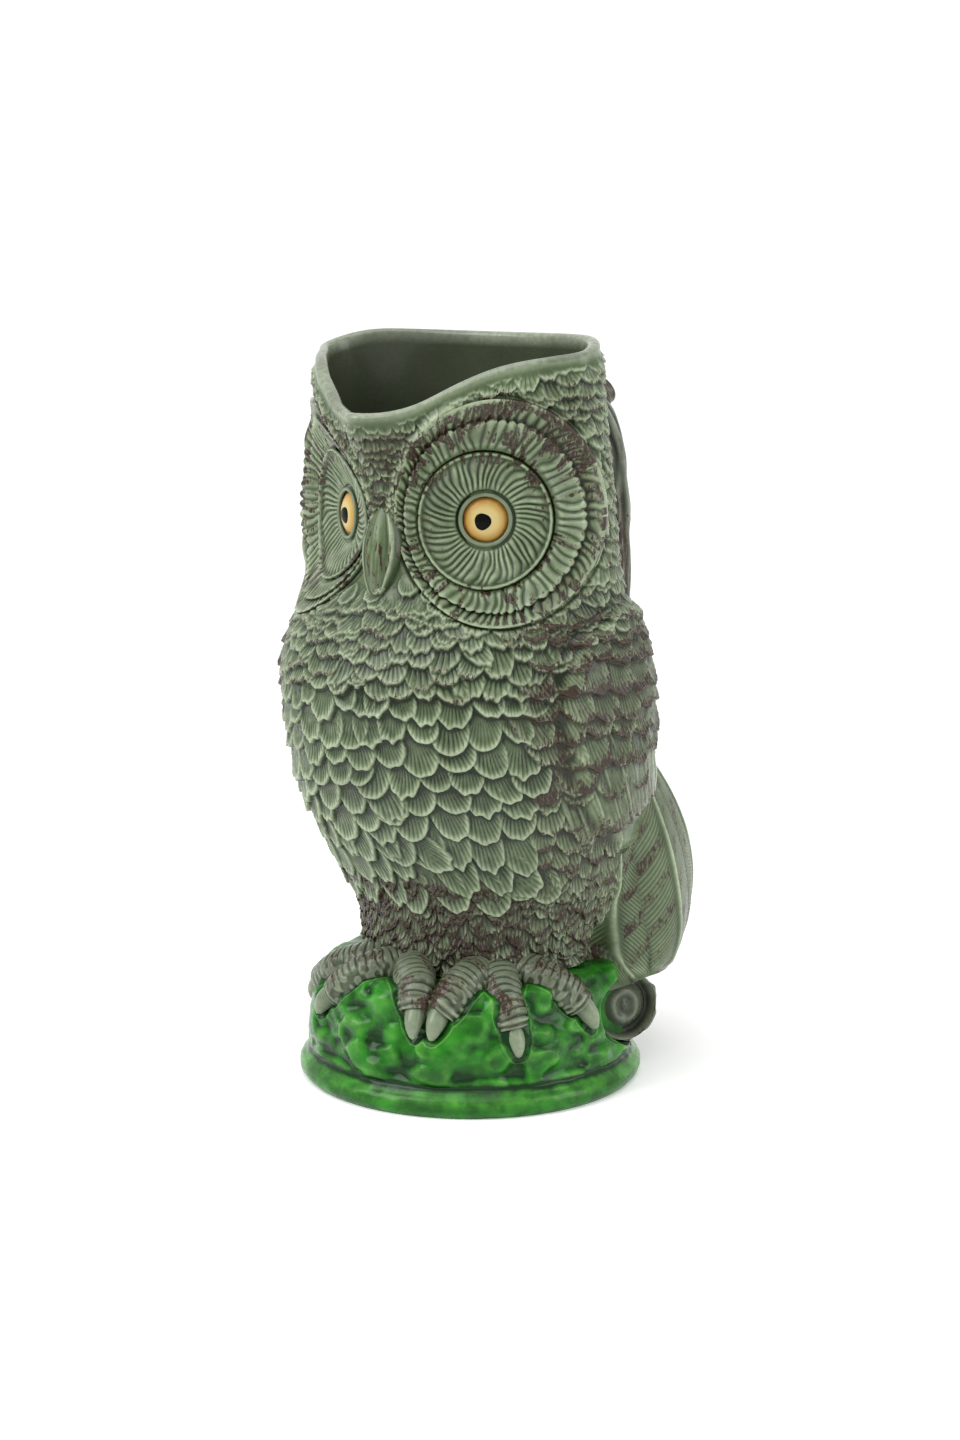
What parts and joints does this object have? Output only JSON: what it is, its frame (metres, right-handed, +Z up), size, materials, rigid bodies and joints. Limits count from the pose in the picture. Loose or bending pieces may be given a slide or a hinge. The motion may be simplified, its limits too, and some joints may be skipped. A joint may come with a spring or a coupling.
{
  "type": "figural owl jug",
  "caption": "Open glazed earthenware jug shaped as an owl perched on a round mound, with a pouring lip at the brow and a branch handle behind.",
  "frame": {"origin": "on the ground at the centre of the round plinth's underside", "axes": "+Z up; the owl faces -Y; the owl's own left side is +X; the handle is towards +Y"},
  "size_m": [0.1674, 0.2069, 0.3259],
  "materials": {
    "grey_green_glaze": "gloss",
    "brown_brushed_glaze": "gloss",
    "emerald_glaze": "gloss",
    "bark_glaze": "gloss",
    "claw_glaze": "gloss",
    "yellow_eye_glaze": "gloss",
    "black_eye_glaze": "gloss"
  },
  "bodies": {
    "root": {"torso_shell": "grey_green_glaze", "head_shell": "grey_green_glaze", "mound": "emerald_glaze", "fallen_branch": "bark_glaze", "handle": "bark_glaze", "handle_knob_upper": "bark_glaze", "handle_knob_lower": "bark_glaze", "tail_feather_outer_right": "brown_brushed_glaze", "tail_feather_inner_right": "brown_brushed_glaze", "tail_feather_centre": "brown_brushed_glaze", "tail_feather_inner_left": "brown_brushed_glaze", "tail_feather_outer_left": "brown_brushed_glaze", "toe_left_inner": "brown_brushed_glaze", "claw_left_inner": "claw_glaze", "toe_left_middle": "brown_brushed_glaze", "claw_left_middle": "claw_glaze", "toe_left_outer": "brown_brushed_glaze", "claw_left_outer": "claw_glaze", "toe_right_inner": "brown_brushed_glaze", "claw_right_inner": "claw_glaze", "toe_right_middle": "brown_brushed_glaze", "claw_right_middle": "claw_glaze", "toe_right_outer": "brown_brushed_glaze", "claw_right_outer": "claw_glaze", "belly_skirt": "brown_brushed_glaze", "beak": "brown_brushed_glaze", "brow_crest": "brown_brushed_glaze", "ruff_left": "brown_brushed_glaze", "eye_disc_left": "grey_green_glaze", "eye_ring_left": "grey_green_glaze", "eye_left": "yellow_eye_glaze", "pupil_left": "black_eye_glaze", "wing_coverts_left": "brown_brushed_glaze", "wing_quills_left": "brown_brushed_glaze", "ruff_right": "brown_brushed_glaze", "eye_disc_right": "grey_green_glaze", "eye_ring_right": "grey_green_glaze", "eye_right": "yellow_eye_glaze", "pupil_right": "black_eye_glaze", "wing_coverts_right": "brown_brushed_glaze", "wing_quills_right": "brown_brushed_glaze"}
  },
  "joints": []
}
